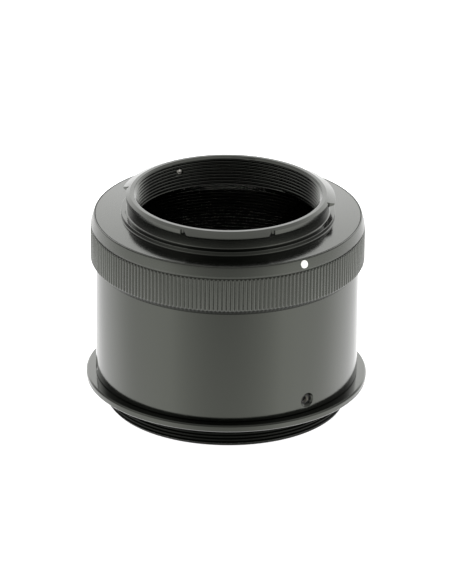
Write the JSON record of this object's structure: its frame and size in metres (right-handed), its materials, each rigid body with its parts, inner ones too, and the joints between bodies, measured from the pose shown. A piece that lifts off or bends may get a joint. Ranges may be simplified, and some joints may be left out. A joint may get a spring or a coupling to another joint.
{
  "type": "barlow lens",
  "caption": "Photographic barlow: a threaded ring that turns on a barrel, a negative doublet in a screw-in cell, and a lugged bayonet inside a knurled grip ring.",
  "frame": {"origin": "centre of the base, on the optical axis, at the lower end of the telescope thread", "axes": "+Z along the optical axis from the telescope to the camera; the front bayonet lug is towards -Y and +X is to its right"},
  "size_m": [0.0608, 0.0608, 0.0483],
  "materials": {
    "black_anodised": "satin black anodised",
    "matt_black": "matt black anodised",
    "coated_glass": "green anti-reflection coating",
    "black_rubber": "matt",
    "white_paint": "enamel fill",
    "blued_steel": "black oxide",
    "nylon": "natural nylon"
  },
  "bodies": {
    "telescope_end": {"telescope_ring": "black_anodised", "lens_cell": "matt_black", "cell_lock_ring": "matt_black", "lens_retaining_ring": "matt_black", "crown_lens": "coated_glass", "flint_lens": "coated_glass", "lens_o_ring": "black_rubber"},
    "barrel": {"body_tube": "black_anodised", "baffle_tube": "matt_black", "grip_ring": "black_anodised", "index_dot": "white_paint", "mount_clamp_ring": "matt_black", "bayonet_mount": "black_anodised", "stop_screw": "blued_steel"},
    "pad_1": {"lock_pad_1": "nylon"},
    "screw_1": {"lock_screw_1": "blued_steel"},
    "pad_2": {"lock_pad_2": "nylon"},
    "screw_2": {"lock_screw_2": "blued_steel"},
    "pad_3": {"lock_pad_3": "nylon"},
    "screw_3": {"lock_screw_3": "blued_steel"}
  },
  "joints": [
    {"name": "barrel_turn", "type": "hinge", "parent": "telescope_end", "child": "barrel", "pos_m": [0, 0, 0.0105], "axis": [0, 0, 1], "continuous": true},
    {"name": "pad_1_slide", "type": "slide", "parent": "barrel", "child": "pad_1", "axis": [0.6157, -0.788, 0], "range_m": [0, 0.0005]},
    {"name": "screw_1_turn", "type": "hinge", "parent": "pad_1", "child": "screw_1", "pos_m": [0.01662, -0.02128, 0.0096], "axis": [0.6157, -0.788, 0], "range_deg": [0, 360]},
    {"name": "pad_2_slide", "type": "slide", "parent": "barrel", "child": "pad_2", "axis": [0.3746, 0.9272, 0], "range_m": [0, 0.0005]},
    {"name": "screw_2_turn", "type": "hinge", "parent": "pad_2", "child": "screw_2", "pos_m": [0.01011, 0.02503, 0.0096], "axis": [0.3746, 0.9272, 0], "range_deg": [0, 360]},
    {"name": "pad_3_slide", "type": "slide", "parent": "barrel", "child": "pad_3", "axis": [-0.9903, -0.1392, 0], "range_m": [0, 0.0005]},
    {"name": "screw_3_turn", "type": "hinge", "parent": "pad_3", "child": "screw_3", "pos_m": [-0.02674, -0.00376, 0.0096], "axis": [-0.9903, -0.1392, 0], "range_deg": [0, 360]}
  ],
  "couplings": [
    {"joint": "screw_1_turn", "follows": "pad_1_slide", "rad_per_m": 12566},
    {"joint": "screw_2_turn", "follows": "pad_2_slide", "rad_per_m": 12566},
    {"joint": "screw_3_turn", "follows": "pad_3_slide", "rad_per_m": 12566}
  ]
}
